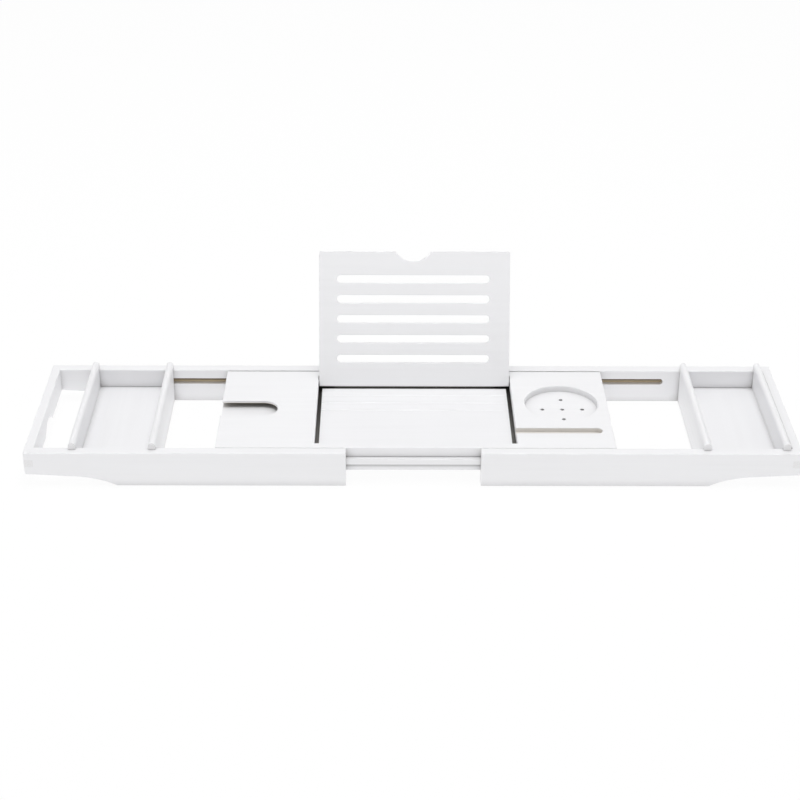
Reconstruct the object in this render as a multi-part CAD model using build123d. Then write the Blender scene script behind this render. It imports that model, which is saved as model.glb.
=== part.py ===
from build123d import *
import math
import os

# A wooden caddy that lies across a bath. Two U-shaped wings slide out of a deck,
# and carry two loose trays. The deck has a leaning book rest, a cup recess,
# a groove for a phone and a slot for a stemmed glass.
# X runs along the caddy, Y away from the bather, Z up. The pieces are built about
# the middle of the wing frame, with the wings as far out as in the photograph, and are
# written with the origin under the middle of the box that the whole caddy fills.
# The deck stands a little off the wings' middle, towards the cup side and the bather.

# Wing rails
RAIL_LENGTH = 375.0
RAIL_THICK = 14.0
RAIL_HEIGHT = 43.2
FRAME_DEPTH = 224.0
TIP_HEIGHT = 27.8
TIP_SLOPE_RUN = 60.0
TIP_SLOPE_DROP = 3.2
COVE_RUN = 48.0
WING_GAP = 158.0

# End rails, joined to the long rails by fingers
END_THICK = 11.0
FINGER_COUNT = 3
NOTCH_RADIUS = 30.0
NOTCH_HEIGHT = 12.0

# Pads that grip the rim of the bath
PAD_LENGTH = 38.0
PAD_WIDTH = 8.0
PAD_THICK = 2.5
PAD_PROUD = 1.0

# Groove in each long rail, and the tongue that runs in it. The left wing closes
# less far than the right one, so its grooves are shorter
GROOVE_DROP = 11.5
GROOVE_HEIGHT = 7.8
GROOVE_DEPTH = 7.0
LEFT_GROOVE_LENGTH = 228.0
RIGHT_GROOVE_LENGTH = 239.4
TONGUE_HEIGHT = 7.0
TONGUE_PROUD = 6.5
TONGUE_SEAT = 4.0
TONGUE_END_INSET = 1.5
TONGUE_SLOT_GAP = 0.4
RUNNING_GAP = 0.3
DECK_SIDE_GAP = 1.4

# Deck
DECK_WIDTH = 470.0
DECK_OFFSET = 3.0
DECK_FORWARD = 1.0
STRIP_THICK = 10.9
STRIP_HEIGHT = 29.8
PANEL_WIDTH = 115.5
RECESS_DROP = 11.0
FLOOR_THICK = 6.0
FLOOR_SIDE_GAP = 4.5
FLOOR_REAR_GAP = 14.6
RIDGE_COUNT = 3
RIDGE_WIDTH = 4.5
RIDGE_HEIGHT = 0.9
RIDGE_PITCH = 19.4
RIDGE_FROM_REAR = 16.6
BATTEN_WIDTH = 30.0
BATTEN_HEIGHT = 10.0
BATTEN_INSET = 10.5

# Screws through the battens
SCREW_LENGTH = 13.0
SCREW_DIAMETER = 3.0
SCREW_HEAD_DIAMETER = 6.5
SCREW_HEAD_HEIGHT = 2.0
SCREW_SIDE_OFFSET = 8.5
SCREW_END_OFFSET = 32.0

# Cup recess with its drain holes, which stand a little off its middle, towards the
# panel's outer edge and the bather. The wood left around the recess and the phone
# groove is divided by shares, across the panel's width and its depth
CUP_DIAMETER = 89.0
CUP_DROP = 7.6
CUP_OUTER_SHARE = 0.444
CUP_REAR_SHARE = 0.392
CUP_TO_PHONE_SHARE = 0.252
DRAIN_DIAMETER = 5.0
DRAIN_CIRCLE_RADIUS = 24.4
DRAIN_OUTWARDS = 1.6
DRAIN_FORWARD = 2.8
DRAIN_RING_COUNT = 4

# Phone groove
PHONE_WIDTH = 13.0
PHONE_DROP = 5.7
PHONE_END_RIM = 12.5

# Slot for the stem of a glass, over a wider slot for its foot
STEM_WIDTH = 36.7
STEM_LENGTH = 68.4
STEM_SETBACK = -0.5
LIP_THICK = 3.0
FOOT_WIDTH = 74.0
FOOT_HEIGHT = 6.0

# Book rest. Its notch and vents are cut a little off its middle
REST_THICK = 9.5
REST_SIDE_GAP = 0.8
REST_TIP_GAP = 1.0
REST_FLUSH_DROP = 0.25
REST_LEAN = 22.0
REST_STOP_GAP = 0.3
REST_CORNER_RADIUS = 2.5
REST_FOOT = 5.4
REST_FOOT_RADIUS = 1.5
THUMB_RADIUS = 26.5
THUMB_HEIGHT = 12.0
VENT_COUNT = 5
VENT_SIDE_RIM = 23.4
VENT_HEIGHT = 9.8
VENT_PITCH_SHARE = 0.1525
VENT_FIRST_SHARE = 0.18
REST_CUT_SHIFT = 1.5
PIN_DIAMETER = 4.0
PIN_RUNNING_GAP = 0.05
PIN_IN_REST = 16.0
PIN_IN_PANEL = 12.0

# Loose trays
TRAY_WIDTH = 101.5
TRAY_WALL = 8.5
TRAY_END_GAP = 1.0
TRAY_SEAT_GAP = 0.3
TRAY_FLOOR_DROP = 23.5
TRAY_FLOOR_THICK = 4.0
TRAY_FLOOR_TONGUE = 3.0
TRAY_KEEL_GAP = 1.2
BAR_HEIGHT = 8.4
BAR_OVERLAP = 5.4
LEFT_TRAY_OFFSET = 40.8
RIGHT_TRAY_OFFSET = 2.3

# Rounded edges
OUTER_CORNER_RADIUS = 2.0
ARRIS = 1.2
FINE_ARRIS = 0.8

# One overrun serves every cut
OVERRUN = 2.0

# Places worked out from the sizes above
TOP = RAIL_HEIGHT
WING_INNER = WING_GAP / 2
WING_OUTER = WING_INNER + RAIL_LENGTH
END_FACE = WING_OUTER - END_THICK
FRAME_FRONT = -FRAME_DEPTH / 2
RAIL_INNER_FACE = FRAME_DEPTH / 2 - RAIL_THICK
TIP_BOTTOM = TOP - TIP_HEIGHT
GROOVE_TOP = TOP - GROOVE_DROP
GROOVE_BOTTOM = GROOVE_TOP - GROOVE_HEIGHT
DECK_FACE = RAIL_INNER_FACE - DECK_SIDE_GAP
RECESS_FACE = DECK_FACE - STRIP_THICK
DECK_HALF = DECK_WIDTH / 2
RECESS_HALF = DECK_HALF - PANEL_WIDTH
PANEL_THICK = RECESS_DROP + FLOOR_THICK
RECESS_BOTTOM = TOP - RECESS_DROP
PANEL_BOTTOM = TOP - PANEL_THICK
FLOOR_REAR = RECESS_FACE - FLOOR_REAR_GAP
CUP_RADIUS = CUP_DIAMETER / 2
PANEL_SPARE_WIDTH = PANEL_WIDTH - CUP_DIAMETER
PANEL_SPARE_DEPTH = RECESS_FACE * 2 - CUP_DIAMETER - PHONE_WIDTH
CUP_X = DECK_HALF - PANEL_SPARE_WIDTH * CUP_OUTER_SHARE - CUP_RADIUS
CUP_Y = RECESS_FACE - PANEL_SPARE_DEPTH * CUP_REAR_SHARE - CUP_RADIUS
PHONE_Y = CUP_Y - CUP_RADIUS - PANEL_SPARE_DEPTH * CUP_TO_PHONE_SHARE - PHONE_WIDTH / 2
LEAN = math.radians(REST_LEAN)
PIVOT_DROP = REST_THICK / 2 + REST_FLUSH_DROP
PIVOT_Z = TOP - PIVOT_DROP
PIVOT_SETBACK = (REST_THICK / 2 + REST_STOP_GAP + PIVOT_DROP * math.sin(LEAN)) / math.cos(LEAN)
PIVOT_Y = RECESS_FACE - PIVOT_SETBACK
REST_LENGTH = PIVOT_Y + RECESS_FACE - REST_TIP_GAP
REST_HALF = RECESS_HALF - REST_SIDE_GAP
VENT_LENGTH = REST_HALF * 2 - VENT_SIDE_RIM * 2
REST_REAR = (
    PIVOT_Y
    + (REST_LENGTH - FINE_ARRIS) * math.sin(LEAN)
    + (REST_THICK / 2 - FINE_ARRIS) * math.cos(LEAN)
    + FINE_ARRIS
)
BOX_MIDDLE_Y = (REST_REAR - DECK_FORWARD + FRAME_FRONT) / 2


def block(x, y, z):
    """A square-edged piece between a low and a high end along each axis."""
    middle = Pos((x[0] + x[1]) / 2, (y[0] + y[1]) / 2, (z[0] + z[1]) / 2)
    return middle * Box(x[1] - x[0], y[1] - y[0], z[1] - z[0])


def edges_at(shape, axis, place):
    """The edges whose whole length lies at one place along an axis."""
    near = FINE_ARRIS / 10
    found = []
    for edge in shape.edges():
        box = edge.bounding_box()
        if abs(getattr(box.min, axis) - place) < near and abs(getattr(box.max, axis) - place) < near:
            found.append(edge)
    return found


def upright_edges(shape, x):
    """The upright edges that stand at one place along X."""
    return [edge for edge in edges_at(shape, "X", x) if edge.bounding_box().size.Y < FINE_ARRIS / 10]


def rounded_slot(x, y_middle, width, z):
    """A slot along X, open at x[0], with a half-round end at x[1]."""
    radius = width / 2
    towards = 1 if x[1] > x[0] else -1
    centre = x[1] - towards * radius
    body = block(sorted((x[0], centre)), (y_middle - radius, y_middle + radius), z)
    end = Pos(centre, y_middle, (z[0] + z[1]) / 2) * Cylinder(radius, z[1] - z[0])
    return body + end


def rail_outline():
    """The side view of a right-hand long rail, with its shallow tip and its cove."""
    slope_end = (WING_OUTER - TIP_SLOPE_RUN, 0, TIP_BOTTOM - TIP_SLOPE_DROP)
    cove_end = (WING_OUTER - TIP_SLOPE_RUN - COVE_RUN, 0, 0)
    tip_bottom = (WING_OUTER, 0, TIP_BOTTOM)
    tip_top = (WING_OUTER, 0, TOP)
    inner_top = (WING_INNER, 0, TOP)
    inner_bottom = (WING_INNER, 0, 0)
    return Wire([
        Line(inner_bottom, cove_end),
        TangentArc([slope_end, cove_end], tangent=(-TIP_SLOPE_RUN, 0, -TIP_SLOPE_DROP)),
        Line(slope_end, tip_bottom),
        Line(tip_bottom, tip_top),
        Line(tip_top, inner_top),
        Line(inner_top, inner_bottom),
    ])


def wing_blank():
    """The right-hand wing as sanded in one piece: two long rails and the end rail."""
    face = Face(rail_outline())
    front = Pos(0, FRAME_FRONT, 0) * extrude(face, RAIL_THICK, dir=(0, 1, 0))
    rear = Pos(0, RAIL_INNER_FACE, 0) * extrude(face, RAIL_THICK, dir=(0, 1, 0))
    end = block((END_FACE, WING_OUTER), (FRAME_FRONT, -FRAME_FRONT), (TIP_BOTTOM, TOP))
    wing = front + rear + end
    wing = fillet(upright_edges(wing, WING_OUTER), OUTER_CORNER_RADIUS)
    wing = fillet(edges_at(wing, "Z", TOP), ARRIS)
    return fillet(edges_at(wing, "Z", 0), FINE_ARRIS)


def end_rail_region():
    """The space that the right-hand end rail fills, with its fingers."""
    finger = TIP_HEIGHT / FINGER_COUNT
    region = block((END_FACE, WING_OUTER + OVERRUN), (-RAIL_INNER_FACE, RAIL_INNER_FACE),
                   (TIP_BOTTOM - OVERRUN, TOP + OVERRUN))
    for step in range(1, FINGER_COUNT, 2):
        low = TIP_BOTTOM + step * finger
        region += block((END_FACE, WING_OUTER + OVERRUN),
                        (FRAME_FRONT - OVERRUN, OVERRUN - FRAME_FRONT), (low, low + finger))
    return region


def finger_notch():
    """The arched notch under the middle of an end rail."""
    centre_z = TIP_BOTTOM + NOTCH_HEIGHT - NOTCH_RADIUS
    length = END_THICK + OVERRUN * 2
    middle_x = END_FACE + END_THICK / 2
    return Pos(middle_x, 0, centre_z) * Rot(0, 90, 0) * Cylinder(NOTCH_RADIUS, length)


def slide_grooves(length):
    """The round-ended grooves in the inner faces of both long rails of the right-hand wing."""
    radius = GROOVE_HEIGHT / 2
    grooves = []
    for side in (-1, 1):
        y = sorted((side * (RAIL_INNER_FACE - OVERRUN), side * (RAIL_INNER_FACE + GROOVE_DEPTH)))
        centre_x = WING_INNER + length - radius
        bar = block((WING_INNER - OVERRUN, centre_x), y, (GROOVE_BOTTOM, GROOVE_TOP))
        end = Pos(centre_x, (y[0] + y[1]) / 2, GROOVE_BOTTOM + radius) * Rot(90, 0, 0)
        grooves.append(bar + end * Cylinder(radius, y[1] - y[0]))
    return grooves


def rim_pads():
    """The two pads let into the sloping underside of the right-hand wing's tips."""
    angle = math.degrees(math.atan2(TIP_SLOPE_DROP, TIP_SLOPE_RUN))
    middle_x = WING_OUTER - TIP_SLOPE_RUN / 2
    middle_z = TIP_BOTTOM - TIP_SLOPE_DROP / 2
    lift = PAD_THICK / 2 - PAD_PROUD
    pads = []
    for side in (-1, 1):
        y = side * (RAIL_INNER_FACE + RAIL_THICK / 2)
        seat = Pos(middle_x, y, middle_z) * Rot(0, -angle, 0) * Pos(0, 0, lift)
        pads.append(seat * Box(PAD_LENGTH, PAD_WIDTH, PAD_THICK))
    return pads


def make_wing(groove_length):
    """The pieces of a wing, built as the right-hand one."""
    wing = wing_blank() - finger_notch()
    for cut in slide_grooves(groove_length) + rim_pads():
        wing -= cut
    region = end_rail_region()
    end_rail = wing & region
    rails = wing - region
    front, rear = rails.solids().sort_by(Axis.Y)
    return {
        "front_rail": front,
        "rear_rail": rear,
        "end_rail": end_rail.solid(),
        "rim_pads": Compound(rim_pads()),
    }


def deck_blank():
    """The deck as sanded in one piece, with its recess, cup recess, groove and slots."""
    deck = block((-DECK_HALF, DECK_HALF), (-DECK_FACE, DECK_FACE), (TOP - STRIP_HEIGHT, TOP))
    under = (TOP - STRIP_HEIGHT - OVERRUN, PANEL_BOTTOM)
    through = (TOP - STRIP_HEIGHT - OVERRUN, TOP + OVERRUN)
    wide = (-DECK_HALF - OVERRUN, DECK_HALF + OVERRUN)
    deck -= block(wide, (-RECESS_FACE, RECESS_FACE), under)
    deck -= block((-RECESS_HALF, RECESS_HALF), (-RECESS_FACE, RECESS_FACE), through)

    cup_height = CUP_DROP + OVERRUN
    deck -= Pos(CUP_X, CUP_Y, TOP - CUP_DROP + cup_height / 2) * Cylinder(CUP_RADIUS, cup_height)

    deck -= rounded_slot((RECESS_HALF - OVERRUN, DECK_HALF - PHONE_END_RIM), PHONE_Y, PHONE_WIDTH,
                         (TOP - PHONE_DROP, TOP + OVERRUN))

    stem_tip = STEM_LENGTH - DECK_HALF
    foot_tip = stem_tip + (FOOT_WIDTH - STEM_WIDTH) / 2
    foot_top = TOP - LIP_THICK
    deck -= rounded_slot((-DECK_HALF - OVERRUN, stem_tip), STEM_SETBACK, STEM_WIDTH,
                         (foot_top, TOP + OVERRUN))
    deck = fillet(edges_at(deck, "Z", TOP), FINE_ARRIS)
    deck -= rounded_slot((-DECK_HALF - OVERRUN, foot_tip), STEM_SETBACK, FOOT_WIDTH,
                         (foot_top - FOOT_HEIGHT, foot_top))

    drains = Pos(CUP_X + DRAIN_OUTWARDS, CUP_Y - DRAIN_FORWARD, PANEL_BOTTOM)
    for hole in range(DRAIN_RING_COUNT + 1):
        angle = math.tau * hole / DRAIN_RING_COUNT
        radius = DRAIN_CIRCLE_RADIUS if hole < DRAIN_RING_COUNT else 0
        place = drains * Pos(radius * math.cos(angle), radius * math.sin(angle), 0)
        deck -= place * Cylinder(DRAIN_DIAMETER / 2, (PANEL_THICK - CUP_DROP + OVERRUN) * 2)
    return deck


def tongue(side, gap=0.0):
    """The round-ended strip that runs in the wing grooves, or its slot in the deck with a gap all round."""
    y = sorted((side * (DECK_FACE - TONGUE_SEAT), side * (DECK_FACE + TONGUE_PROUD)))
    low = GROOVE_BOTTOM + RUNNING_GAP - gap
    radius = TONGUE_HEIGHT / 2 + gap
    reach = DECK_HALF - TONGUE_END_INSET - TONGUE_HEIGHT / 2
    bar = block((-reach, reach), y, (low, low + radius * 2))
    for end in (-1, 1):
        round_end = Pos(end * reach, (y[0] + y[1]) / 2, low + radius) * Rot(90, 0, 0)
        bar += round_end * Cylinder(radius, y[1] - y[0])
    return bar


def screw_places():
    """Where the batten screws stand: beside each batten's middle line, near both its ends."""
    batten_x = RECESS_HALF - BATTEN_WIDTH / 2 + BATTEN_INSET
    return [
        (side * (batten_x + across * SCREW_SIDE_OFFSET), along * (RECESS_FACE - SCREW_END_OFFSET))
        for side in (-1, 1)
        for across in (-1, 1)
        for along in (-1, 1)
    ]


def screw(x, y):
    """A countersunk screw that points up, with its head flush under a batten."""
    base = PANEL_BOTTOM - BATTEN_HEIGHT
    head = Cone(SCREW_HEAD_DIAMETER / 2, SCREW_DIAMETER / 2, SCREW_HEAD_HEIGHT)
    shank = Cylinder(SCREW_DIAMETER / 2, SCREW_LENGTH - SCREW_HEAD_HEIGHT)
    head_place = Pos(x, y, base + SCREW_HEAD_HEIGHT / 2)
    shank_place = Pos(x, y, base + (SCREW_LENGTH + SCREW_HEAD_HEIGHT) / 2)
    return head_place * head + shank_place * shank


def recess_floor():
    """The board at the bottom of the recess, with ridges that stop a book's foot."""
    half = RECESS_HALF - FLOOR_SIDE_GAP
    floor = block((-half, half), (-RECESS_FACE, FLOOR_REAR), (PANEL_BOTTOM, RECESS_BOTTOM))
    ridge_radius = (RIDGE_WIDTH ** 2 / 4 + RIDGE_HEIGHT ** 2) / (RIDGE_HEIGHT * 2)
    above = block((-half, half), (-RECESS_FACE, FLOOR_REAR), (PANEL_BOTTOM, TOP))
    for step in range(RIDGE_COUNT):
        y = FLOOR_REAR - RIDGE_FROM_REAR - step * RIDGE_PITCH
        centre = Pos(0, y, RECESS_BOTTOM + RIDGE_HEIGHT - ridge_radius) * Rot(0, 90, 0)
        floor += centre * Cylinder(ridge_radius, half * 2) & above
    return floor


def make_deck():
    """The pieces of the deck, each cut from the sanded blank or let into it."""
    blank = deck_blank()
    wide = (-DECK_HALF - OVERRUN, DECK_HALF + OVERRUN)
    tall = (-OVERRUN, TOP + OVERRUN)
    screws = [screw(x, y) for x, y in screw_places()]
    pin_hole = Pos(0, PIVOT_Y, PIVOT_Z) * Rot(0, 90, 0)
    hole_radius = PIN_DIAMETER / 2 + PIN_RUNNING_GAP
    pin_hole *= Cylinder(hole_radius, (RECESS_HALF + PIN_IN_PANEL + REST_SIDE_GAP) * 2)
    pieces = {}
    for name, side in (("front", -1), ("rear", 1)):
        y = sorted((side * RECESS_FACE, side * (DECK_FACE + OVERRUN)))
        pieces[name + "_strip"] = (blank & block(wide, y, tall)) - tongue(side, TONGUE_SLOT_GAP)
        pieces[name + "_tongue"] = tongue(side)
    for name, side in (("left", -1), ("right", 1)):
        x = sorted((side * RECESS_HALF, side * (DECK_HALF + OVERRUN)))
        panel = (blank & block(x, (-RECESS_FACE, RECESS_FACE), tall)) - pin_hole
        batten_x = side * (RECESS_HALF - BATTEN_WIDTH / 2 + BATTEN_INSET)
        batten = block((batten_x - BATTEN_WIDTH / 2, batten_x + BATTEN_WIDTH / 2),
                       (-RECESS_FACE, RECESS_FACE), (PANEL_BOTTOM - BATTEN_HEIGHT, PANEL_BOTTOM))
        pieces[name + "_panel"] = panel
        pieces[name + "_batten"] = batten
    pieces["recess_floor"] = recess_floor()
    for name in ("left_panel", "right_panel", "left_batten", "right_batten", "recess_floor"):
        for each in screws:
            pieces[name] = pieces[name] - each
    pieces["batten_screws"] = Compound([each.solid() for each in screws])
    return pieces


def make_rest():
    """The book rest and its two pins, built upright on the pivot and then leant back."""
    half_thick = REST_THICK / 2
    board = block((-REST_HALF, REST_HALF), (-half_thick, half_thick), (-REST_FOOT, REST_LENGTH))
    corners = [edge for edge in edges_at(board, "Z", REST_LENGTH) if edge.bounding_box().size.X < half_thick]
    board = fillet(corners, REST_CORNER_RADIUS)
    foot = [edge for edge in edges_at(board, "Z", -REST_FOOT) if edge.length > REST_HALF]
    board = fillet(foot, REST_FOOT_RADIUS)
    thumb = Pos(-REST_CUT_SHIFT, 0, REST_LENGTH - THUMB_HEIGHT + THUMB_RADIUS) * Rot(90, 0, 0)
    board -= thumb * Cylinder(THUMB_RADIUS, REST_THICK * 2)
    straight = VENT_LENGTH - VENT_HEIGHT
    for step in range(VENT_COUNT):
        z = REST_LENGTH * (VENT_FIRST_SHARE + step * VENT_PITCH_SHARE)
        vent = Pos(-REST_CUT_SHIFT, 0, z) * Box(straight, REST_THICK * 2, VENT_HEIGHT)
        for side in (-1, 1):
            end = Pos(-REST_CUT_SHIFT + side * straight / 2, 0, z) * Rot(90, 0, 0)
            vent += end * Cylinder(VENT_HEIGHT / 2, REST_THICK * 2)
        board -= vent
    faces_y = edges_at(board, "Y", half_thick) + edges_at(board, "Y", -half_thick)
    outline = [edge for edge in faces_y if edge.bounding_box().max.Z > half_thick]
    board = fillet(outline, FINE_ARRIS)
    pins = []
    for side in (-1, 1):
        reach = (REST_HALF - PIN_IN_REST, RECESS_HALF + PIN_IN_PANEL)
        pin = Pos(side * (reach[0] + reach[1]) / 2, 0, 0) * Rot(0, 90, 0)
        pins.append(pin * Cylinder(PIN_DIAMETER / 2, reach[1] - reach[0]))
        board -= pins[-1]
    lean = Pos(0, PIVOT_Y, PIVOT_Z) * Rot(-REST_LEAN, 0, 0)
    return {"rest_board": lean * board, "rest_pins": Compound([lean * pin for pin in pins])}


def tray_wall(x, bottom):
    """A tray's side wall, with a round-topped bar whose ends lie over the long rails."""
    half = RAIL_INNER_FACE - TRAY_END_GAP
    bar_half = RAIL_INNER_FACE + BAR_OVERLAP
    bar_bottom = TOP + TRAY_SEAT_GAP
    bar = block(x, (-bar_half, bar_half), (bar_bottom, bar_bottom + BAR_HEIGHT))
    crown = [edge for edge in edges_at(bar, "Z", bar_bottom + BAR_HEIGHT) if edge.length > bar_half]
    bar = fillet(crown, TRAY_WALL / 2 - FINE_ARRIS / 10)
    return bar + block(x, (-half, half), (bottom, bar_bottom))


def make_tray(offset):
    """The pieces of the right-hand tray, set this far in from the end rail."""
    outer = END_FACE - offset
    inner = outer - TRAY_WIDTH
    half = RAIL_INNER_FACE - TRAY_END_GAP
    floor_top = TOP - TRAY_FLOOR_DROP
    floor_bottom = floor_top - TRAY_FLOOR_THICK
    floor_x = (inner + TRAY_WALL - TRAY_FLOOR_TONGUE, outer - TRAY_WALL + TRAY_FLOOR_TONGUE)
    floor = block(floor_x, (-half, half), (floor_bottom, floor_top))
    outer_wall = tray_wall((outer - TRAY_WALL, outer), floor_bottom) - floor
    inner_wall = tray_wall((inner, inner + TRAY_WALL), TRAY_KEEL_GAP) - floor
    return {"tray_outer_wall": outer_wall, "tray_inner_wall": inner_wall, "tray_floor": floor}


def make_all():
    """Every piece of the caddy, by its name."""
    pieces = {}
    for name, shape in {**make_wing(LEFT_GROOVE_LENGTH), **make_tray(LEFT_TRAY_OFFSET)}.items():
        pieces["left_" + name] = mirror(shape, Plane.YZ)
    for name, shape in {**make_wing(RIGHT_GROOVE_LENGTH), **make_tray(RIGHT_TRAY_OFFSET)}.items():
        pieces["right_" + name] = shape
    for name, shape in {**make_deck(), **make_rest()}.items():
        pieces[name] = Pos(DECK_OFFSET, -DECK_FORWARD, 0) * shape
    return pieces


os.makedirs("parts", exist_ok=True)
for node, shape in make_all().items():
    export_step(Pos(0, -BOX_MIDDLE_Y, 0) * shape, "parts/" + node + ".step")
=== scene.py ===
"""The looks of a freestanding bath caddy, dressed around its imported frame.

Lengths are in metres, in the frame's own axes: X along the caddy, Y away from the
bather and Z up. The boards are the frame's own nodes and get painted here. The screws,
pins and rim pads are modelled again with the detail that small parts have.
"""

import logging
import math
from dataclasses import dataclass, field
from enum import Enum
from typing import Dict, List, Optional, Sequence, Tuple, Union

import bmesh
import bpy
from mathutils import Matrix, Vector


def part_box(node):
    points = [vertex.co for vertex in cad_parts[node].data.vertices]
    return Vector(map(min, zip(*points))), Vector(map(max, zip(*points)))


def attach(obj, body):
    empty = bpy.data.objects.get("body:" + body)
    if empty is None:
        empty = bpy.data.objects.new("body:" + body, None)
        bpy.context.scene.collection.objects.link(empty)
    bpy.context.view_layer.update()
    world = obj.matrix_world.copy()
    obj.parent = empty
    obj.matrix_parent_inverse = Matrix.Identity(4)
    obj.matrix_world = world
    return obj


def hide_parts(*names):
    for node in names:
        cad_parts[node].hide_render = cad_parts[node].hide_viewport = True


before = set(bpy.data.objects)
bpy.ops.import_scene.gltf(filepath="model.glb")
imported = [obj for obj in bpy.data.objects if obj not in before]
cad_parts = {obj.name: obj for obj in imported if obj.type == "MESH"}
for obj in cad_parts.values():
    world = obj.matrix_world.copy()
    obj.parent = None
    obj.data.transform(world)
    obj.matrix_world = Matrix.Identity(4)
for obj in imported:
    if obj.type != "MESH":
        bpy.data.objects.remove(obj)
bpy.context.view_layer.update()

MM = 0.001
HALF = 0.5

# The thickness of the skin that a zone takes up on each side of a face.
SKIN = 0.3 * MM

# A coordinate that lies beyond the caddy on every side.
FAR = 2.0

# Points that are nearer to each other than this are one point.
WELD = 0.001 * MM

# How many rays tell how open the surroundings of a point are.
OPEN_RAYS = 8

# A number for each board, which sets its grain apart from the others'.
GRAIN_SEEDS: Dict[str, float] = {
    "front_strip": 1.3,
    "rear_strip": 2.1,
    "front_tongue": 3.7,
    "rear_tongue": 4.4,
    "left_panel": 5.5,
    "right_panel": 6.2,
    "recess_floor": 7.9,
    "left_batten": 8.6,
    "right_batten": 9.2,
    "right_front_rail": 11.0,
    "right_rear_rail": 12.0,
    "right_end_rail": 13.5,
    "left_front_rail": 17.0,
    "left_rear_rail": 18.0,
    "left_end_rail": 19.5,
    "right_tray_outer_wall": 23.0,
    "right_tray_inner_wall": 24.0,
    "right_tray_floor": 25.5,
    "left_tray_outer_wall": 29.0,
    "left_tray_inner_wall": 30.0,
    "rest_board": 31.4,
    "left_tray_floor": 31.5,
}

BMesh = bmesh.types.BMesh
Socket = bpy.types.NodeSocket
Value = Union[Socket, Vector, float, Sequence[float]]
Colour = Tuple[float, float, float]
Point = Tuple[float, float, float]
Pair = Tuple[float, float]
Span = Tuple[float, float, float, float]

WHITE: Colour = (1.0, 1.0, 1.0)

log = logging.getLogger("caddy")


class Side(Enum):
    """The two ends of the caddy, with the sign that each has along X."""

    LEFT = -1
    RIGHT = 1

    @property
    def word(self) -> str:
        """The side's name as it stands in the node names."""
        return self.name.lower()


class Axis(Enum):
    """An axis along which a board's grain runs or a surface fades in, with its number."""

    X = 0
    Y = 1
    Z = 2


class Mixed(Enum):
    """What a Mix node mixes: its data type, and the numbers of its two inputs and its output."""

    NUMBERS = ("FLOAT", 2, 3, 0)
    COLOURS = ("RGBA", 6, 7, 2)


class Surface(Enum):
    """What a board shows where it isn't plainly painted, including painted shade."""

    BARE = "bare bamboo"
    # Bare bamboo with painted shade that darkens it towards near-black in tight corners.
    WOOD_WITH_PAINTED_SHADE = "bare bamboo that darkens in tight corners"
    # Painted shade: bare bamboo darkened under the upper wall of a groove.
    PAINTED_SHADE_UNDER_LIP = "bare bamboo that has gone dull under a lip"
    # Painted shade: a near-black colour put in joints and slits where shade falls.
    PAINTED_DARK_SHADE = "dark stain in a joint that the spray doesn't reach"
    # Painted shade: a dark grey colour put in slits where shade falls.
    DUSTY = "grey dust in a joint"
    THIN_PAINT = "thin paint over bamboo"
    # Thin paint over bamboo, without the painted corner shade.
    WORN_PAINT = "thin paint over bamboo that stays bright in corners"
    END_GRAIN = "painted end grain"


@dataclass(frozen=True)
class Zone:
    """A box in which a board shows another surface.

    Attributes:
        low: The box's lowest corner.
        high: The box's highest corner.
        surface: What the board shows there.
        outside: True where the surface is what lies outside the box.
        fade_axis: The axis along which the surface comes in slowly, if it does.
        fade: Where along that axis it begins, and where it is full.
    """

    low: Point
    high: Point
    surface: Surface
    outside: bool = False
    fade_axis: Optional[Axis] = None
    fade: Pair = (0.0, 1.0)


@dataclass(frozen=True)
class Noise:
    """A noise pattern on a piece.

    Attributes:
        along: Its scale along the grain.
        across: Its scale across the grain.
        octaves: How many finer patterns it has.
        rough: How strong the finer ones are.
        shift: How many times the piece's seed it is moved.
    """

    along: float
    across: float
    octaves: float
    rough: float
    shift: float = 0.0


@dataclass(frozen=True)
class Relief:
    """How a bump shows.

    Attributes:
        strength: How much of it shows.
        height: How high it is.
    """

    strength: float
    height: float


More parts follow.
